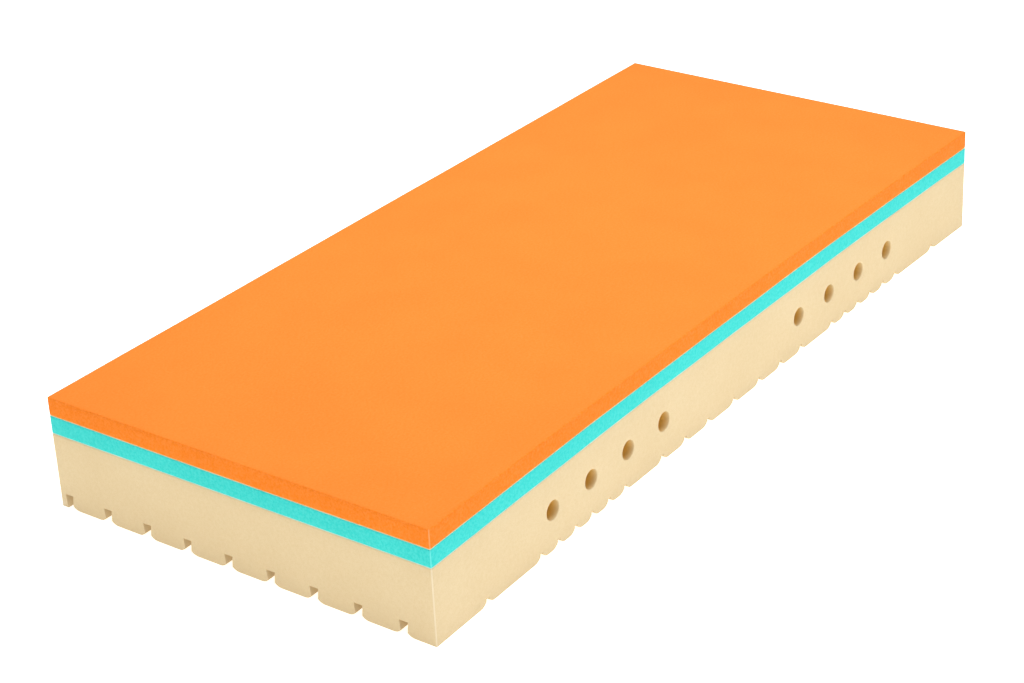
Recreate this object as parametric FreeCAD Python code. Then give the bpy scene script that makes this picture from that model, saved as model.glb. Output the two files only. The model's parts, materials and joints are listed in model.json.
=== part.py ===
"""Three-layer foam mattress core, bare, without its cover.

A slab of memory foam and a slab of resilient foam are glued on top of a thick base core.
The base core is contour cut: lengthwise and crosswise grooves divide its underside into soft
pads, and round vent channels run through it from one long side to the other.

Millimetres. The origin is on the floor under the middle of the mattress, +X runs along its
length, +Y across its width and +Z up to the sleeping surface.
"""
import FreeCAD
import Part
import math
import os

# Overall size
LENGTH = 2000.0
WIDTH = 900.0

# Thickness of each layer, from the sleeping surface down
TOP_LAYER = 39.0
MIDDLE_LAYER = 37.0
BASE_LAYER = 158.0
GLUE_FILM = 0.5

# Lengthwise grooves in the underside, all alike
LONG_GROOVE_COUNT = 9
LONG_GROOVE_PITCH = 100.7
LONG_GROOVE_FIRST = 71.0    # centre of the first one, from the -Y long side
LONG_GROOVE_DEPTH = 29.0
LONG_GROOVE_ROOF = 20.0     # width at its flat roof
LONG_GROOVE_MOUTH = 15.0    # width where the pads' rounded edges begin

# Crosswise grooves in the underside, the same pattern on both halves of the length
CROSS_GROOVE_DEPTH = 13.0
CROSS_GROOVE_ROOF = 10.0
CROSS_GROOVE_MOUTH = 8.0
LUMBAR_PITCHES = (98.5, 86.0, 84.0)    # from the middle groove outwards
LUMBAR_TO_SHOULDER = 130.5
SHOULDER_PITCH = 56.0
SHOULDER_PADS = 5
SHOULDER_TO_END = 168.5

# Rounded lower edges of the pads: arcs that leave the flat underside without a corner
LONG_EDGE_RADIUS = 22.0     # along the lengthwise grooves
LONG_EDGE_RISE = 7.0
CROSS_EDGE_RADIUS = 20.0    # along the crosswise grooves
CROSS_EDGE_RISE = 10.0

# Vent channels through the width, a group on each half of the length
VENT_DIAMETER = 40.0
VENTS_PER_GROUP = 4
VENT_PITCH = 126.0
VENT_INNER_OFFSET = 260.0   # innermost vent of a group, from the middle of the length
VENT_HEIGHT = 83.0          # centre above the underside

# The tools that cut through a side run past it by this much
OVERRUN = 5.0


def slab(bottom, thickness):
    """A full-size slab of foam or glue whose lower face is at height bottom."""
    corner = FreeCAD.Vector(-LENGTH / 2, -WIDTH / 2, bottom)
    return Part.makeBox(LENGTH, WIDTH, thickness, corner)


def cross_groove_offsets():
    """Places of the crosswise grooves along X, mirrored about the middle groove."""
    steps = list(LUMBAR_PITCHES)
    steps.append(LUMBAR_TO_SHOULDER)
    steps.extend([SHOULDER_PITCH] * SHOULDER_PADS)
    steps.append(SHOULDER_TO_END)
    places = [0.0]
    distance = 0.0
    for step in steps:
        distance += step
        places.append(distance)
        places.append(-distance)
    return sorted(places)


def long_groove_offsets():
    """Places of the lengthwise grooves along Y, counted from the -Y long side."""
    first = LONG_GROOVE_FIRST - WIDTH / 2
    return [first + index * LONG_GROOVE_PITCH for index in range(LONG_GROOVE_COUNT)]


def vent_offsets():
    """Places of the vent channels along X, in two mirrored groups."""
    one_side = [VENT_INNER_OFFSET + index * VENT_PITCH for index in range(VENTS_PER_GROUP)]
    return [-offset for offset in reversed(one_side)] + one_side


def groove_profile(depth, roof, mouth, radius, rise, outer_side_rounded=True):
    """Closed groove outline in the YZ plane, centred on Y = 0.

    It is dovetailed: widest at the roof, narrowest where the pads' rounded edges begin, and
    flared by those edges down to the underside. A side whose edge isn't rounded carries its
    slanting wall on down to the underside.
    """
    reach = math.sqrt(2 * radius * rise - rise ** 2)
    half_turn = math.asin(reach / radius) / 2
    edge = mouth / 2 + reach
    middle_y = edge - radius * math.sin(half_turn)
    middle_z = radius * (1 - math.cos(half_turn))
    slant = (roof - mouth) / 2 / (depth - rise)
    plain_edge = mouth / 2 - slant * rise
    below = -OVERRUN

    def point(y, z):
        return FreeCAD.Vector(0, y, z)

    left_arc = Part.Arc(point(-mouth / 2, rise), point(-middle_y, middle_z), point(-edge, 0))
    if outer_side_rounded:
        right_edge = edge
        right_side = Part.Arc(point(edge, 0), point(middle_y, middle_z), point(mouth / 2, rise)).toShape()
    else:
        right_edge = plain_edge
        right_side = Part.makeLine(point(plain_edge, 0), point(mouth / 2, rise))
    edges = [
        Part.makeLine(point(-edge, below), point(right_edge, below)),
        Part.makeLine(point(right_edge, below), point(right_edge, 0)),
        right_side,
        Part.makeLine(point(mouth / 2, rise), point(roof / 2, depth)),
        Part.makeLine(point(roof / 2, depth), point(-roof / 2, depth)),
        Part.makeLine(point(-roof / 2, depth), point(-mouth / 2, rise)),
        left_arc.toShape(),
        Part.makeLine(point(-edge, 0), point(-edge, below)),
    ]
    return Part.Face(Part.Wire(edges))


def groove_tool(profile, run):
    """The outline drawn out along X, centred on the origin."""
    tool = profile.extrude(FreeCAD.Vector(run, 0, 0))
    tool.translate(FreeCAD.Vector(-run / 2, 0, 0))
    return tool


def long_grooves():
    """Cutting tools for the lengthwise grooves.

    The last one leaves a narrow strip along the +Y side, whose edge isn't rounded.
    """
    size = (LONG_GROOVE_DEPTH, LONG_GROOVE_ROOF, LONG_GROOVE_MOUTH, LONG_EDGE_RADIUS, LONG_EDGE_RISE)
    run = LENGTH + 2 * OVERRUN
    tool = groove_tool(groove_profile(*size), run)
    last_tool = groove_tool(groove_profile(*size, outer_side_rounded=False), run)
    *places, last_place = long_groove_offsets()
    tools = [tool.translated(FreeCAD.Vector(0, place, 0)) for place in places]
    tools.append(last_tool.translated(FreeCAD.Vector(0, last_place, 0)))
    return tools


def cross_grooves():
    """Cutting tools for the crosswise grooves: the same kind of outline turned to run along Y."""
    size = (CROSS_GROOVE_DEPTH, CROSS_GROOVE_ROOF, CROSS_GROOVE_MOUTH, CROSS_EDGE_RADIUS, CROSS_EDGE_RISE)
    tool = groove_tool(groove_profile(*size), WIDTH + 2 * OVERRUN)
    tool.rotate(FreeCAD.Vector(0, 0, 0), FreeCAD.Vector(0, 0, 1), 90)
    return [tool.translated(FreeCAD.Vector(place, 0, 0)) for place in cross_groove_offsets()]


def vents():
    """Cutting tools for the round vent channels, along Y."""
    run = WIDTH + 2 * OVERRUN
    tools = []
    for place in vent_offsets():
        start = FreeCAD.Vector(place, -run / 2, VENT_HEIGHT)
        tools.append(Part.makeCylinder(VENT_DIAMETER / 2, run, start, FreeCAD.Vector(0, 1, 0)))
    return tools


def base_core():
    """The thick slab with its vent channels and grooves cut out."""
    core = slab(0.0, BASE_LAYER)
    core = core.cut(vents())
    core = core.cut(long_grooves())
    return core.cut(cross_grooves())


def build():
    """Every piece by its node name, stacked up from the floor."""
    lower_glue = BASE_LAYER
    middle = lower_glue + GLUE_FILM
    upper_glue = middle + MIDDLE_LAYER
    top = upper_glue + GLUE_FILM
    return {
        "ventilated_base_core": base_core(),
        "lower_glue_film": slab(lower_glue, GLUE_FILM),
        "resilient_middle_layer": slab(middle, MIDDLE_LAYER),
        "upper_glue_film": slab(upper_glue, GLUE_FILM),
        "memory_foam_top": slab(top, TOP_LAYER),
    }


os.makedirs("parts", exist_ok=True)
for name, shape in build().items():
    shape.exportStep(f"parts/{name}.step")
    print(name, "solids", len(shape.Solids), "valid", shape.isValid(), "volume", round(shape.Volume))
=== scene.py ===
"""Three-layer foam mattress core on a plain pale floor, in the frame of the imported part.

Metres. +X runs along the mattress, +Y across it and +Z up. Every foam slab and glue line is a
surface worked out on a grid or carried along a path, in the space its CAD solid holds.
"""

import json
import math

import bmesh
import bpy
import numpy as np
from mathutils import Matrix, Vector
from mathutils.geometry import delaunay_2d_cdt


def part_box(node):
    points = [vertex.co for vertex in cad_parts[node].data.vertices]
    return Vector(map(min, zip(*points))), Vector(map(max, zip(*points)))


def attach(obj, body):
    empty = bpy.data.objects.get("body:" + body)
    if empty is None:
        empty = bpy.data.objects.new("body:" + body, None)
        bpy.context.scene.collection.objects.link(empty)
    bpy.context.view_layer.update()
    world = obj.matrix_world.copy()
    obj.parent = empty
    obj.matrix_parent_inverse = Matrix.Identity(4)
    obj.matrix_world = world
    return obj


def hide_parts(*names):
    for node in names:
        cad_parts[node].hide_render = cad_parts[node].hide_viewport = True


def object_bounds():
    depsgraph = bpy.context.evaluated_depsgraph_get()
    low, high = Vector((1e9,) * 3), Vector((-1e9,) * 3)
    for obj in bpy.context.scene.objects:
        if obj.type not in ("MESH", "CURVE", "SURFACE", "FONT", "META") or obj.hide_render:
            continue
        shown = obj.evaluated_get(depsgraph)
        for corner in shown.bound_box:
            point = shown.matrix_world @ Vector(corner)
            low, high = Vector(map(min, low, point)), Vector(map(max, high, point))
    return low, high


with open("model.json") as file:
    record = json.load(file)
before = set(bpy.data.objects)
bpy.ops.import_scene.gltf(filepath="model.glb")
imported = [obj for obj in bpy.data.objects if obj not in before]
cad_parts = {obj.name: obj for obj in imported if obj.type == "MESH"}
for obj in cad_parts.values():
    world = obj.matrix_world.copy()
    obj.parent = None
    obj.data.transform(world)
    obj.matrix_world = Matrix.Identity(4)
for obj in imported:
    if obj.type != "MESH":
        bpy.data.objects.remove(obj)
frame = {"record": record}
cad_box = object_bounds()

MM = 0.001
HIGH = np.array(cad_box[1])
HALF_LENGTH = HIGH[0]
HALF_WIDTH = HIGH[1]

# How a cut block of foam departs from a true box
EDGE_SOFTNESS = 2.5 * MM       # radius of its outer edges
LONG_SIDE_HOLLOW = 12.0 * MM   # how far the -Y long side dips inward at the middle of the length
KNIFE_WANDER = 0.9 * MM        # how far the band knife drifts up and down along a cut

# Grooves in the underside, as the base core is cut
LONG_GROOVE_COUNT = 9
LONG_GROOVE_PITCH = 100.7 * MM
LONG_GROOVE_FIRST = 71.0 * MM
LONG_GROOVE_DEPTH = 29.0 * MM
LONG_GROOVE_ROOF = 20.0 * MM
LONG_GROOVE_MOUTH = 15.0 * MM
LONG_EDGE_RADIUS = 22.0 * MM
LONG_EDGE_RISE = 7.0 * MM
CROSS_GROOVE_DEPTH = 13.0 * MM
CROSS_GROOVE_ROOF = 10.0 * MM
CROSS_GROOVE_MOUTH = 8.0 * MM
CROSS_EDGE_RADIUS = 20.0 * MM
CROSS_EDGE_RISE = 10.0 * MM
CROSS_GROOVE_STEPS = np.array([98.5, 86.0, 84.0, 130.5, 56.0, 56.0, 56.0, 56.0, 56.0, 168.5]) * MM
VENT_DIAMETER = 40.0 * MM
VENT_SHADE_DEPTH = 18.0 * MM    # depth at which the painted light and shade inside a vent is at full strength: the amber of light that has soaked through the foam
VENT_RIM = 1.5 * MM            # radius of a vent's softened mouth
VENT_RING_POINTS = 40

# Spacing of the points along the plain stretches of each mesh
SLAB_STEP = 12.0 * MM
PAD_STEP = 24.0 * MM
WALL_STEP = 25.0 * MM
WALL_ROW_STEP = 20.0 * MM
EDGE_ARC_POINTS = 5            # points on the rounded edge of a pad
EDGE_SHARES = np.array([0.0, 0.3, 0.65])    # extra rows in an outer edge, as shares of its radius
WALL_CLEARANCE = 5.0 * MM      # least room between a wall's inner points and its border or holes
GROOVE_WALL_HEIGHTS = np.array([8.5, 11.5, 13.0, 18.0, 29.0]) * MM

# Glue squeezed out between two slabs
UPPER_BEAD = 2.0 * MM          # thickness of the bead at the rim
LOWER_BEAD = 2.2 * MM
RIM_CORNER = 3.0 * MM          # radius of the rim's corners
RIM_STEP = 8.0 * MM
BEAD_SETBACK = 1.5 * MM        # from the outer face in to the middle of the bead
BEAD_REACH = 1.2 * MM          # from the middle of the bead out to its tip
FILM_REACH = 3.0 * MM          # from the corner circle's centre in to where the flat film starts


# ---------------------------------------------------------------- shape of the whole block

def wander(x, y, z):
    """Height drift of the cuts: three sine waves of 0.9, 0.41 and 0.23 m, turned with height
    so that no two cuts drift alike, and none at the underside."""
    phase = z * 31.0
    waves = (0.55 * np.sin(x * math.tau / 0.90 + y * 2.1 + phase)
             + 0.30 * np.sin(x * math.tau / 0.41 - y * 5.3 + 2.0 * phase + 1.3)
             + 0.15 * np.sin(x * math.tau / 0.23 + y * 9.0 + 0.7))
    lift = np.clip(z / 0.06, 0.0, 1.0) * np.clip((HIGH[2] - z) / 0.02, 0.35, 1.0)
    return KNIFE_WANDER * waves * lift


def settle(points):
    """A block as it lies: the -Y side hollowed and the cuts wandering.

    The hollow is a parabola along the length that fades to nothing across the width.
    """
    x, y, z = points.T
    hollow = (1.0 - (x / HALF_LENGTH) ** 2) * np.clip(0.5 - y / (2 * HALF_WIDTH), 0.0, 1.0) ** 2
    moved = points.copy()
    moved[:, 1] += LONG_SIDE_HOLLOW * hollow
    moved[:, 2] += wander(x, y, z)
    return moved


def rounded(points, low, high, radius, keep_bottom=False):
    """Points of a box pulled in to rounded edges: the nearest point of the inner box, plus the
    radius in the direction away from it."""
    inner_low = low + radius
    inner_high = high - radius
    if keep_bottom:
        inner_low = np.array([inner_low[0], inner_low[1], low[2]])
    core = np.clip(points, inner_low, inner_high)
    away = points - core
    reach = np.abs(away).max(axis=1)
    length = np.linalg.norm(away, axis=1)
    scale = np.where(length > 1e-9, reach / np.maximum(length, 1e-9), 0.0)
    return core + away * scale[:, None]


def spread(low, high, step, radius):
    """Stations from low to high about a step apart, with extra ones for the rounded edges."""
    count = max(2, int(round((high - low - 2 * radius) / step)) + 1)
    middle = np.linspace(low + radius, high - radius, count)
    edge = radius * EDGE_SHARES
    return np.concatenate([low + edge, middle, high - edge[::-1]])


# ---------------------------------------------------------------- mesh building

def grid_faces(rows, columns, start=0):
    """Quads of a grid of points stored row by row."""
    index = np.arange(rows * columns).reshape(rows, columns) + start
    return np.stack([index[:-1, :-1], index[1:, :-1], index[1:, 1:], index[:-1, 1:]], -1).reshape(-1, 4)


def sheet_points(first, second, axis, value):
    """A flat grid of points across the axis, at a value of that axis."""
    a, b = np.meshgrid(first, second, indexing="ij")
    flat = np.empty((a.size, 3))
    others = [index for index in range(3) if index != axis]
    flat[:, others[0]] = a.ravel()
    flat[:, others[1]] = b.ravel()
    flat[:, axis] = value
    return flat


def closed_piece(name, patches, smooth_angle=35.0):
    """One closed mesh from patches of (points, faces): their shared borders are merged and the
    faces turned outward."""
    points = []
    faces = []
    start = 0
    for patch_points, patch_faces in patches:
        points.append(patch_points)
        faces.extend((np.asarray(patch_faces) + start).tolist())
        start += len(patch_points)
    mesh = bpy.data.meshes.new(name)
    mesh.from_pydata(np.concatenate(points).tolist(), [], faces)
    shell = bmesh.new()
    shell.from_mesh(mesh)
    bmesh.ops.remove_doubles(shell, verts=shell.verts, dist=0.02 * MM)
    bmesh.ops.recalc_face_normals(shell, faces=shell.faces)
    shell.to_mesh(mesh)
    shell.free()
    mesh.shade_smooth()
    mesh.set_sharp_from_angle(angle=math.radians(smooth_angle))
    piece = bpy.data.objects.new(name, mesh)
    bpy.context.scene.collection.objects.link(piece)
    return piece


def mark_points(mesh, points):
    """Three numbers on each point for the finishes, from 0 to 1: how near it is to an upright
    outer edge, for the painted highlight there, whether it lies on a side face, which also sets the
    painted paler top, and how far it lies down a vent channel, for the painted light and shade inside it."""
    x, y, z = np.abs(points).T
    # share of the painted highlight, strongest on the upright outer edges
    edge_highlight_share = np.minimum(x - HALF_LENGTH, y - HALF_WIDTH) / EDGE_SOFTNESS + 1.0
    on_side = np.maximum(x - HALF_LENGTH, y - HALF_WIDTH) / EDGE_SOFTNESS + 1.0
    inset = HALF_WIDTH - y
    from_axis = np.min([np.hypot(points[:, 0] - centre[0], points[:, 2] - centre[2])
                        for centre in vent_centres()], axis=0)
    # share of the painted light and shade inside the vents, growing from each mouth inward
    vent_shade_share = (from_axis < VENT_DIAMETER / 2 + 1.0 * MM) * np.clip(inset / VENT_SHADE_DEPTH, 0.0, 1.0)
    for name, values in (("painted_edge_highlight", np.clip(edge_highlight_share, 0.0, 1.0)), ("painted_vent_light_and_shade", vent_shade_share),
                         ("side_face", np.clip(on_side, 0.0, 1.0))):
        mark = mesh.attributes.new(name, "FLOAT", "POINT")
        mark.data.foreach_set("value", values.astype(np.float32))


def settle_piece(piece):
    """Moves a piece's points as the whole block lies."""
    mesh = piece.data
    flat = np.empty(len(mesh.vertices) * 3, np.float32)
    mesh.vertices.foreach_get("co", flat)
    points = flat.reshape(-1, 3).astype(float)
    mark_points(mesh, points)
    mesh.vertices.foreach_set("co", settle(points).astype(np.float32).ravel())
    mesh.update()


def foam_slab(name, low, high, step):
    """A plain slab: six grids of points with extra rows at the edges, rounded there."""
    low = np.array(low)
    high = np.array(high)
    stations = [spread(low[axis], high[axis], step, EDGE_SOFTNESS) for axis in range(3)]
    patches = []
    for axis in range(3):
        first, second = [stations[index] for index in range(3) if index != axis]
        for value in (low[axis], high[axis]):
            flat = sheet_points(first, second, axis, value)
            soft = rounded(flat, low, high, EDGE_SOFTNESS)
            patches.append((soft, grid_faces(len(first), len(second))))
    return closed_piece(name, patches)


# ---------------------------------------------------------------- glue lines

def glue_line(name, low, high, bead):
    """A film of glue between two slabs, with the bead that is squeezed out at its rim.

    The section is most of an ellipse, whose ends run back to the thin film between the slabs.
    Its thickness wavers along the rim as a sum of sine waves, and it is carried round a
    rounded rectangle.
    """
    low = np.array(low)
    high = np.array(high)
    middle = (low[2] + high[2]) / 2
    film = (high[2] - low[2]) / 2
    half = np.array([high[0], high[1]])
    along_x = np.arange(-half[0], half[0], RIM_STEP)
    along_y = np.arange(-half[1], half[1], RIM_STEP)
    rim = np.concatenate([
        np.stack([along_x, np.full_like(along_x, -half[1])], 1),
        np.stack([np.full_like(along_y, half[0]), along_y], 1),
        np.stack([-along_x, np.full_like(along_x, half[1])], 1),
        np.stack([np.full_like(along_y, -half[0]), -along_y], 1)])
    core = np.clip(rim, -half + RIM_CORNER, half - RIM_CORNER)
    away = rim - core
    away /= np.maximum(np.linalg.norm(away, axis=1), 1e-9)[:, None]
    run = np.cumsum(np.linalg.norm(np.roll(rim, -1, 0) - rim, axis=1))
    total = run[-1]
    waver = sum(weight * np.sin(run / total * math.tau * count + phase)
                for weight, count, phase in ((0.12, 23, 0.4), (0.09, 57, 1.9), (0.07, 141, 4.2)))
    thick = bead / 2 * (1.0 + waver)
    turn = np.linspace(math.radians(160), math.radians(-160), 11)
    centre = RIM_CORNER - BEAD_SETBACK
    points = np.empty((len(rim), len(turn), 3))
    out = centre + BEAD_REACH * np.cos(turn)[None, :]
    points[:, :, 0] = core[:, :1] + away[:, :1] * out
    points[:, :, 1] = core[:, 1:] + away[:, 1:] * out
    points[:, :, 2] = middle + thick[:, None] * np.sin(turn)[None, :]
    inner = np.empty((len(rim), 2, 3))
    inner[:, :, :2] = (core - away * FILM_REACH)[:, None, :]
    inner[:, 0, 2] = middle + film
    inner[:, 1, 2] = middle - film
    ring = np.concatenate([inner[:, :1], points, inner[:, 1:]], axis=1)
    rows = len(rim)
    columns = ring.shape[1]
    index = np.arange(rows * columns).reshape(rows, columns)
    ahead = np.roll(index, -1, axis=0)
    quads = np.stack([index[:, :-1], index[:, 1:], ahead[:, 1:], ahead[:, :-1]], -1).reshape(-1, 4)
    shell = [(ring.reshape(-1, 3), quads)]
    shell.append((ring[:, 0], [list(range(rows))]))
    shell.append((ring[:, -1], [list(range(rows))]))
    return closed_piece(name, shell, smooth_angle=60.0)


# ---------------------------------------------------------------- base core

def groove_side(depth, roof, mouth, radius, rise, rounded_edge=True):
    """One side of a groove, from the pad to the roof: place, lean and height, as arrays.

    It is an arc from the flat underside up to the mouth, or a plain corner, then a wall. The
    place grows all the way, so that the grid never folds, and the lean is what turns the
    upright wall into the dovetail, whose roof is wider than its mouth.
    """
    full_turn = math.acos(1.0 - rise / radius)
    reach = radius * math.sin(full_turn)
    shares = np.linspace(0.0, 1.0, EDGE_ARC_POINTS)
    if rounded_edge:
        edge_place = -mouth / 2 - reach + radius * np.sin(shares * full_turn)
        edge_height = radius * (1.0 - np.cos(shares * full_turn))
        edge_lean = np.zeros(len(shares))
    else:
        slant = (roof - mouth) / 2 / (depth - rise)
        edge_place = -mouth / 2 - reach * (1.0 - shares)
        edge_place[-2] = -mouth / 2 - 0.3 * MM
        edge_height = np.where(shares == 1.0, rise, 0.0)
        edge_lean = np.zeros(len(shares))
        edge_lean[-2] = slant * rise + 0.3 * MM
    on_wall = (GROOVE_WALL_HEIGHTS > rise) & (GROOVE_WALL_HEIGHTS <= depth + 1e-9)
    walls = GROOVE_WALL_HEIGHTS[on_wall]
    creep = 0.25 * MM * np.arange(1, len(walls) + 1)
    share = (walls - rise) / (depth - rise)
    place = np.concatenate([edge_place, -mouth / 2 + creep])
    lean = np.concatenate([edge_lean, -(roof - mouth) / 2 * share - creep])
    height = np.concatenate([edge_height, walls])
    return place, lean, height


def groove_stations(centres, half, size, last_strip_plain=False):
    """Stations across a family of grooves and the pads between them, from side to side."""
    side = groove_side(*size)
    plain = groove_side(*size, rounded_edge=False)
    edge = EDGE_SOFTNESS * np.append(EDGE_SHARES, 1.0)
    places, leans, heights = [], [], []
    previous = -half
    for centre in [*centres, None]:
        following = half if centre is None else centre + side[0][0]
        count = max(1, int(round((following - previous) / PAD_STEP)))
        flat = np.linspace(previous, following, count + 1)
        flat = np.concatenate([previous + edge, flat[1:]]) if previous == -half else flat[1:]
        flat = np.concatenate([flat[:-1], half - edge[::-1]]) if centre is None else flat[:-1]
        places.append(flat)
        leans.append(np.zeros(len(flat)))
        heights.append(np.zeros(len(flat)))
        if centre is not None:
            other = plain if last_strip_plain and centre == centres[-1] else side
            places.append(centre + np.concatenate([side[0], [0.0], -other[0][::-1]]))
            leans.append(np.concatenate([side[1], [0.0], -other[1][::-1]]))
            heights.append(np.concatenate([side[2], [size[0]], other[2][::-1]]))
            previous = places[-1][-1]
    return np.concatenate(places), np.concatenate(leans), np.concatenate(heights)


def underside():
    """Points and triangles of the grooved underside.

    The height of a point is the deeper of the two cuts that cross there. Each quad is split
    along the diagonal whose ends differ more in height, which keeps the pads' corners crisp.
    """
    steps = np.cumsum(CROSS_GROOVE_STEPS)
    cross = np.concatenate([-steps[::-1], [0.0], steps])
    first = -HALF_WIDTH + LONG_GROOVE_FIRST
    lengthwise = first + LONG_GROOVE_PITCH * np.arange(LONG_GROOVE_COUNT)
    cross_size = (CROSS_GROOVE_DEPTH, CROSS_GROOVE_ROOF, CROSS_GROOVE_MOUTH,
                  CROSS_EDGE_RADIUS, CROSS_EDGE_RISE)
    long_size = (LONG_GROOVE_DEPTH, LONG_GROOVE_ROOF, LONG_GROOVE_MOUTH,
                 LONG_EDGE_RADIUS, LONG_EDGE_RISE)
    px, lx, hx = groove_stations(cross, HALF_LENGTH, cross_size)
    py, ly, hy = groove_stations(lengthwise, HALF_WIDTH, long_size, last_strip_plain=True)
    x_clear = np.clip(1.0 - hx / CROSS_EDGE_RISE, 0.0, 1.0)
    y_clear = np.clip(1.0 - hy / LONG_EDGE_RISE, 0.0, 1.0)
    x = px[:, None] + lx[:, None] * y_clear[None, :]
    y = py[None, :] + ly[None, :] * x_clear[:, None]
    z = np.maximum(hx[:, None], hy[None, :])
    points = np.stack([x, y, z], -1)
    rows, columns = z.shape
    index = np.arange(rows * columns).reshape(rows, columns)
    a, b, c, d = index[:-1, :-1], index[1:, :-1], index[1:, 1:], index[:-1, 1:]
    height = z.ravel()
    along = np.abs(height[a] - height[c]) >= np.abs(height[b] - height[d])
    one = np.where(along[..., None], np.stack([a, b, c], -1), np.stack([a, b, d], -1))
    two = np.where(along[..., None], np.stack([a, c, d], -1), np.stack([b, c, d], -1))
    return points, np.concatenate([one.reshape(-1, 3), two.reshape(-1, 3)])


def vent_centres():
    """Middle of each vent channel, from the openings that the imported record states."""
    boxes = [np.array(opening["box_m"]) for opening in frame["record"]["physics"]["openings"]]
    return [(box[0] + box[1]) / 2 for box in boxes]


def wall_patch(border, stations, holes, axis, value):
    """A flat outer wall as a Delaunay mesh: its cut lower border, even stations for the rest,
    and a ring of points round each hole, whose inside is left open."""
    across, levels = stations
    top = levels[-1]
    rim_top = np.stack([across[::-1], np.full(len(across), top)], 1)
    left = np.stack([np.full(len(levels) - 2, across[0]), levels[1:-1]], 1)
    right = np.stack([np.full(len(levels) - 2, across[-1]), levels[1:-1]], 1)
    outline = np.concatenate([border, right, rim_top, left[::-1]])
    inside = np.stack(np.meshgrid(across[1:-1], levels[1:-1], indexing="ij"), -1).reshape(-1, 2)
    floor = np.interp(inside[:, 0], border[:, 0], border[:, 1])
    inside = inside[inside[:, 1] > floor + WALL_CLEARANCE]
    rings = []
    for centre, radius, count in holes:
        turn = np.arange(count) * math.tau / count
        ring = centre + radius * np.stack([np.cos(turn), np.sin(turn)], 1)
        rings.append(ring)
        from_axis = np.hypot(inside[:, 0] - centre[0], inside[:, 1] - centre[1])
        inside = inside[from_axis > radius + WALL_CLEARANCE]
    points = np.concatenate([outline, *rings, inside])
    edges = []
    start = len(outline)
    for ring in rings:
        index = np.arange(len(ring))
        edges.extend((np.stack([index, np.roll(index, -1)], 1) + start).tolist())
        start += len(ring)
    result = delaunay_2d_cdt([Vector(point) for point in points.tolist()], edges,
                             [list(range(len(outline)))], 1, 1e-7)
    flat = np.array([tuple(vertex) for vertex in result[0]])
    faces = np.array(result[2])
    centroid = flat[faces].mean(axis=1)
    keep = np.ones(len(faces), bool)
    for centre, radius, count in holes:
        from_axis = np.hypot(centroid[:, 0] - centre[0], centroid[:, 1] - centre[1])
        keep &= from_axis > radius * math.cos(math.pi / count)
    solid = np.empty((len(flat), 3))
    others = [index for index in range(3) if index != axis]
    solid[:, others[0]] = flat[:, 0]
    solid[:, others[1]] = flat[:, 1]
    solid[:, axis] = value
    return solid, faces[keep]


def vent_tunnel(centre):
    """One vent channel: rings of points carried across the width, opening out at both mouths
    along a quarter circle, with the slight waver of a drilled foam bore. The rings are closest
    near the mouths, where the painted light and shade inside the vent changes."""
    quarter = np.linspace(0.0, math.pi / 2, 4)
    mouth_depth = VENT_RIM * (1.0 - np.cos(quarter))
    mouth_radius = VENT_DIAMETER / 2 + VENT_RIM * (1.0 - np.sin(quarter))
    inner = HALF_WIDTH - np.array([8.0, 16.0, 26.0, 38.0, 55.0]) * MM
    middle = np.concatenate([-inner, np.linspace(-0.3, 0.3, 7), inner[::-1]])
    y = np.concatenate([-HALF_WIDTH + mouth_depth, middle, (HALF_WIDTH - mouth_depth)[::-1]])
    radius = np.concatenate([mouth_radius, np.full(len(middle), VENT_DIAMETER / 2), mouth_radius[::-1]])
    radius += 0.25 * MM * np.sin(y * 47.0 + centre[0] * 9.0) * (np.abs(y) < HALF_WIDTH - VENT_RIM)
    turn = np.arange(VENT_RING_POINTS) * math.tau / VENT_RING_POINTS
    points = np.empty((len(y), VENT_RING_POINTS, 3))
    points[:, :, 0] = centre[0] + radius[:, None] * np.cos(turn)[None, :]
    points[:, :, 1] = y[:, None]
    points[:, :, 2] = centre[2] + radius[:, None] * np.sin(turn)[None, :]
    index = np.arange(len(y) * VENT_RING_POINTS).reshape(len(y), VENT_RING_POINTS)
    ahead = np.roll(index, -1, axis=1)
    quads = np.stack([index[:-1], index[1:], ahead[1:], ahead[:-1]], -1).reshape(-1, 4)
    return points.reshape(-1, 3), quads


def base_core(name, low, high):
    """The grooved and vented base core: underside grid, four walls, top and vent channels."""
    low = np.array(low)
    high = np.array(high)
    points, triangles = underside()
    across_x = spread(low[0], high[0], WALL_STEP, EDGE_SOFTNESS)
    across_y = spread(low[1], high[1], WALL_STEP, EDGE_SOFTNESS)
    levels = spread(low[2], high[2], WALL_ROW_STEP, EDGE_SOFTNESS)
    levels = np.concatenate([levels[:1], levels[3:]])
    holes = [((centre[0], centre[2]), VENT_DIAMETER / 2 + VENT_RIM, VENT_RING_POINTS)
             for centre in vent_centres()]
    patches = [(points.reshape(-1, 3), triangles)]
    for value, border in ((low[1], points[:, 0]), (high[1], points[:, -1])):
        patches.append(wall_patch(border[:, [0, 2]], (across_x, levels), holes, 1, value))
    for value, border in ((low[0], points[0]), (high[0], points[-1])):
        patches.append(wall_patch(border[:, [1, 2]], (across_y, levels), [], 0, value))
    lid = sheet_points(across_x, across_y, 2, high[2])
    patches.append((lid, grid_faces(len(across_x), len(across_y))))
    patches = [(rounded(flat, low, high, EDGE_SOFTNESS, keep_bottom=True), faces)
               for flat, faces in patches]
    patches.extend(vent_tunnel(centre) for centre in vent_centres())
    return closed_piece(name, patches)


# ---------------------------------------------------------------- finishes

CLOUD_SIZE = 140.0 * MM    # patches of the block that foamed a little denser
KNIFE_LINE = 5.0 * MM      # spacing of the band knife's faint lines


def linear(hex_colour):
    """An sRGB hex colour as linear red, green, blue and alpha."""
    parts = [int(hex_colour[index:index + 2], 16) / 255 for index in (1, 3, 5)]
    return [part / 12.92 if part <= 0.04045 else ((part + 0.055) / 1.055) ** 2.4 for part in parts] + [1.0]


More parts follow.
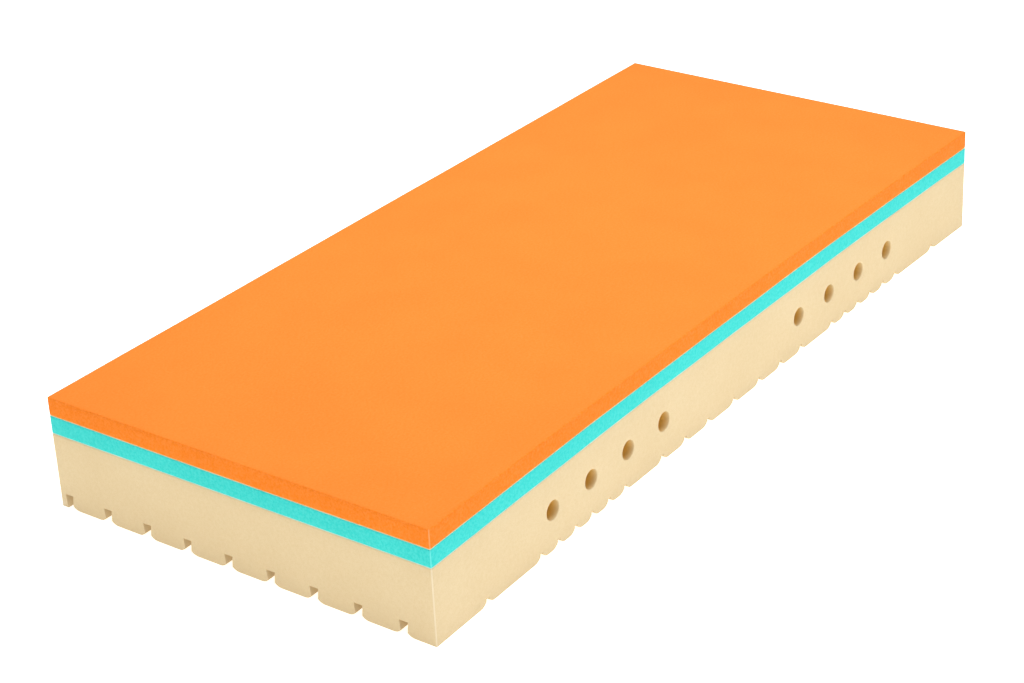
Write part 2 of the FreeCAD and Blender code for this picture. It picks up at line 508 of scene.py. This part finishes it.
def add(tree, kind, values=None, links=None, **settings):
    """Adds one node with its settings, input values and links to other nodes' outputs."""
    node = tree.nodes.new(kind)
    for key, value in settings.items():
        setattr(node, key, value)
    for key, value in (values or {}).items():
        node.inputs[key].default_value = value
    for key, source in (links or {}).items():
        tree.links.new(source, node.inputs[key])
    return node


def open_cell_foam(name, main, side, shade, glow, edge, vent_light_and_shade, cell_mm, contrast):
    """Flexible polyurethane foam, foamed in a block and cut with a band knife: dull, with open
    cells whose struts catch the light and whose hollows hold shade, soft mottling from one
    patch of cells to the next, and faint lines along the knife's way.

    The cells are drawn at cell_mm, coarser than the real half millimetre, so that they show.
    The broad faces show them half as strongly as the side faces.
    """
    material = bpy.data.materials.new(name)
    material.use_nodes = True
    tree = material.node_tree
    tree.nodes.clear()
    place = add(tree, "ShaderNodeTexCoord").outputs["Object"]
    cells = add(tree, "ShaderNodeTexVoronoi", {"Scale": 1 / (cell_mm * MM)}, {"Vector": place})
    grain = add(tree, "ShaderNodeTexNoise",
                {"Scale": 1 / (3.0 * cell_mm * MM), "Detail": 4.0, "Roughness": 0.7}, {"Vector": place})
    clouds = add(tree, "ShaderNodeTexNoise", {"Scale": 1 / CLOUD_SIZE, "Detail": 2.0}, {"Vector": place})
    along_knife = add(tree, "ShaderNodeMapping", {"Scale": (0.06, 0.06, 1.0)}, {"Vector": place})
    streaks = add(tree, "ShaderNodeTexNoise", {"Scale": 1 / KNIFE_LINE, "Detail": 1.0},
                  {"Vector": along_knife.outputs["Vector"]})
    side_mark = add(tree, "ShaderNodeAttribute", attribute_name="side_face").outputs["Fac"]
    edge_highlight_mark = add(tree, "ShaderNodeAttribute", attribute_name="painted_edge_highlight").outputs["Fac"]
    vent_light_shade_mark = add(tree, "ShaderNodeAttribute", attribute_name="painted_vent_light_and_shade").outputs["Fac"]

    strength = add(tree, "ShaderNodeMapRange", {"To Min": 0.5 * contrast, "To Max": contrast},
                   {"Value": side_mark})
    # painted sheen: where the main and side colours differ, the broad faces are painted paler than the side
    # faces, as the light washes over the top
    face = add(tree, "ShaderNodeMix", {"A": linear(main), "B": linear(side)}, {"Factor": side_mark},
               data_type="RGBA")
    pores = add(tree, "ShaderNodeMapRange", {"From Max": 0.6, "To Max": 0.0},
                {"Value": cells.outputs["Distance"], "To Min": strength.outputs["Result"]})
    pored = add(tree, "ShaderNodeMix", {"B": linear(shade)},
                {"Factor": pores.outputs["Result"], "A": face.outputs["Result"]}, data_type="RGBA")
    mottling = add(tree, "ShaderNodeMapRange", {"From Min": 0.38, "From Max": 0.68},
                   {"Value": grain.outputs["Fac"], "To Max": strength.outputs["Result"]})
    mottled = add(tree, "ShaderNodeMix", {"B": linear(glow)},
                  {"Factor": mottling.outputs["Result"], "A": pored.outputs["Result"]}, data_type="RGBA")
    cloudy = add(tree, "ShaderNodeMapRange", {"From Min": 0.35, "From Max": 0.65, "To Max": 0.08},
                 {"Value": clouds.outputs["Fac"]})
    clouded = add(tree, "ShaderNodeMix", {"B": linear(shade)},
                  {"Factor": cloudy.outputs["Result"], "A": mottled.outputs["Result"]}, data_type="RGBA")
    # painted highlight: the upright outer edges are painted in the paler edge colour, where they catch the
    # light
    edge_highlighted = add(tree, "ShaderNodeMix", {"B": linear(edge)},
                {"Factor": edge_highlight_mark, "A": clouded.outputs["Result"]}, data_type="RGBA")
    # painted light and shade: inside the vents the colour turns to the vent colour, amber or darker, for
    # light soaked through and shaded by the foam
    colour = add(tree, "ShaderNodeMix", {"B": linear(vent_light_and_shade)},
                 {"Factor": vent_light_shade_mark, "A": edge_highlighted.outputs["Result"]}, data_type="RGBA")

    relief = add(tree, "ShaderNodeMath", {1: 0.7}, {0: grain.outputs["Fac"], 2: cells.outputs["Distance"]},
                 operation="MULTIPLY_ADD")
    lined = add(tree, "ShaderNodeMath", {1: 0.6}, {0: streaks.outputs["Fac"], 2: relief.outputs["Value"]},
                operation="MULTIPLY_ADD")
    bump = add(tree, "ShaderNodeBump", {"Strength": contrast, "Distance": 0.25 * cell_mm * MM},
               {"Height": lined.outputs["Value"]})
    rough = add(tree, "ShaderNodeMapRange", {"To Min": 0.86, "To Max": 1.0}, {"Value": grain.outputs["Fac"]})
    shader = add(tree, "ShaderNodeBsdfPrincipled",
                 {"IOR": 1.3, "Specular IOR Level": 0.1, "Sheen Weight": 0.04, "Sheen Roughness": 0.5},
                 {"Base Color": colour.outputs["Result"], "Roughness": rough.outputs["Result"],
                  "Normal": bump.outputs["Normal"]})
    add(tree, "ShaderNodeOutputMaterial", {}, {"Surface": shader.outputs["BSDF"]})
    return material


def dried_glue(name, main, shade):
    """Water-based contact adhesive, sprayed and dried: a pale, slightly rubbery bead."""
    material = bpy.data.materials.new(name)
    material.use_nodes = True
    tree = material.node_tree
    tree.nodes.clear()
    place = add(tree, "ShaderNodeTexCoord").outputs["Object"]
    patches = add(tree, "ShaderNodeTexNoise", {"Scale": 1 / (12.0 * MM), "Detail": 3.0}, {"Vector": place})
    colour = add(tree, "ShaderNodeMix", {"A": linear(main), "B": linear(shade)},
                 {"Factor": patches.outputs["Fac"]}, data_type="RGBA")
    bump = add(tree, "ShaderNodeBump", {"Strength": 0.4, "Distance": 0.4 * MM},
               {"Height": patches.outputs["Fac"]})
    rough = add(tree, "ShaderNodeMapRange", {"To Min": 0.45, "To Max": 0.75},
                {"Value": patches.outputs["Fac"]})
    shader = add(tree, "ShaderNodeBsdfPrincipled", {"IOR": 1.47},
                 {"Base Color": colour.outputs["Result"], "Roughness": rough.outputs["Result"],
                  "Normal": bump.outputs["Normal"]})
    add(tree, "ShaderNodeOutputMaterial", {}, {"Surface": shader.outputs["BSDF"]})
    return material


# ---------------------------------------------------------------- the mattress

def finish_piece(piece, node, material):
    """Gives a piece its finish and its body, and hides the CAD node that it stands for."""
    settle_piece(piece)
    piece.data.materials.append(material)
    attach(piece, "root")
    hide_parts(node)


# the orange top colour is painted paler than its side colour as a painted sheen; the edge colours are
# painted highlights, and the vent colours are painted light and shade
memory_foam = open_cell_foam("orange_memory_foam", main="#EE7D2C", side="#EC7C18", shade="#CE5C10",
                             glow="#FB9A50", edge="#F8AC74", vent_light_and_shade="#B04A08", cell_mm=1.6, contrast=0.45)
resilient_foam = open_cell_foam("turquoise_resilient_foam", main="#36CEC6", side="#36CEC6", shade="#1FA8A2",
                                glow="#6FE6E0", edge="#7CE8E2", vent_light_and_shade="#178C86", cell_mm=1.8, contrast=0.4)
cold_foam = open_cell_foam("cream_cold_cure_foam", main="#D9C49C", side="#D9C49C", shade="#BFA06A",
                           glow="#E8D8B6", edge="#EBDDC2", vent_light_and_shade="#F0C464", cell_mm=2.6, contrast=0.2)
upper_glue = dried_glue("olive_contact_adhesive", "#DADDB4", "#C0D2A8")
lower_glue = dried_glue("pale_contact_adhesive", "#CDE2CE", "#B7D8C8")

finish_piece(foam_slab("memory_foam_slab", *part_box("memory_foam_top"), SLAB_STEP),
             "memory_foam_top", memory_foam)
finish_piece(foam_slab("resilient_foam_slab", *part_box("resilient_middle_layer"), SLAB_STEP),
             "resilient_middle_layer", resilient_foam)
finish_piece(base_core("base_core_block", *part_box("ventilated_base_core")),
             "ventilated_base_core", cold_foam)
finish_piece(glue_line("upper_glue_line", *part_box("upper_glue_film"), UPPER_BEAD),
             "upper_glue_film", upper_glue)
finish_piece(glue_line("lower_glue_line", *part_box("lower_glue_film"), LOWER_BEAD),
             "lower_glue_film", lower_glue)


# ---------------------------------------------------------------- studio

FLOOR_GLOW = 0.7
FLOOR_LEVEL = -0.2 * MM


def studio_floor():
    """A wide pale light table: white acrylic lit from below, so that the pads' edges stay clear.

    It lies just under the pads and is see-through from beneath, so the underside can be viewed.
    """
    mesh = bpy.data.meshes.new("studio_floor")
    reach = 30.0
    mesh.from_pydata([(-reach, -reach, FLOOR_LEVEL), (reach, -reach, FLOOR_LEVEL),
                      (reach, reach, FLOOR_LEVEL), (-reach, reach, FLOOR_LEVEL)], [], [(0, 1, 2, 3)])
    floor = bpy.data.objects.new("studio_floor", mesh)
    bpy.context.scene.collection.objects.link(floor)
    paint = bpy.data.materials.new("studio_floor_paint")
    paint.use_nodes = True
    tree = paint.node_tree
    tree.nodes.clear()
    acrylic = add(tree, "ShaderNodeBsdfPrincipled",
                  {"Base Color": linear("#F7F6F4"), "Roughness": 0.9,
                   "Emission Color": linear("#FFFFFF"), "Emission Strength": FLOOR_GLOW})
    beneath = add(tree, "ShaderNodeNewGeometry").outputs["Backfacing"]
    clear = add(tree, "ShaderNodeBsdfTransparent")
    surface = add(tree, "ShaderNodeMixShader", {},
                  {0: beneath, 1: acrylic.outputs["BSDF"], 2: clear.outputs["BSDF"]})
    add(tree, "ShaderNodeOutputMaterial", {}, {"Surface": surface.outputs["Shader"]})
    mesh.materials.append(paint)


def soft_light(name, place, target, size, watts, tint):
    """A square softbox at a place, facing a target."""
    lamp = bpy.data.lights.new(name, "AREA")
    lamp.size = size
    lamp.energy = watts
    lamp.color = linear(tint)[:3]
    box = bpy.data.objects.new(name, lamp)
    box.location = place
    box.rotation_euler = (Vector(target) - Vector(place)).to_track_quat("-Z", "Y").to_euler()
    bpy.context.scene.collection.objects.link(box)


def studio_camera():
    """The camera, from its place, the way it looks and its small roll."""
    lens = bpy.data.cameras.new("studio_camera")
    lens.sensor_width = 36.0
    lens.lens = 85.0897
    lens.shift_x = -50.0 / 1024
    lens.shift_y = -70.0 / 1024
    lens.clip_end = 200.0
    camera = bpy.data.objects.new("studio_camera", lens)
    place = Vector((-3.6627, -2.6684, 2.36242))
    look = Vector((0.73094, 0.52769, -0.43274))
    roll = math.radians(2.373)
    facing = look.to_track_quat("-Z", "Y").to_matrix().to_4x4()
    camera.matrix_world = Matrix.Translation(place) @ facing @ Matrix.Rotation(-roll, 4, "Z")
    bpy.context.scene.collection.objects.link(camera)
    bpy.context.scene.camera = camera


def studio_world(strength):
    """Even white light from all round."""
    world = bpy.data.worlds.new("studio_world")
    world.use_nodes = True
    background = world.node_tree.nodes["Background"]
    background.inputs["Color"].default_value = linear("#FFFFFF")
    background.inputs["Strength"].default_value = strength
    bpy.context.scene.world = world


studio_floor()
studio_world(0.5)
soft_light("overhead_softbox", (0.3, -0.2, 3.6), (0, 0, 0), 3.0, 150.0, "#FFFFFF")
soft_light("end_softbox", (-4.5, -1.2, 2.6), (-0.6, 0, 0.1), 2.0, 18.0, "#FFF4E0")
soft_light("side_softbox", (-1.6, -4.5, 2.6), (0, 0, 0.1), 2.5, 14.0, "#A9C8FF")
studio_camera()
bpy.context.scene.view_settings.view_transform = "Standard"
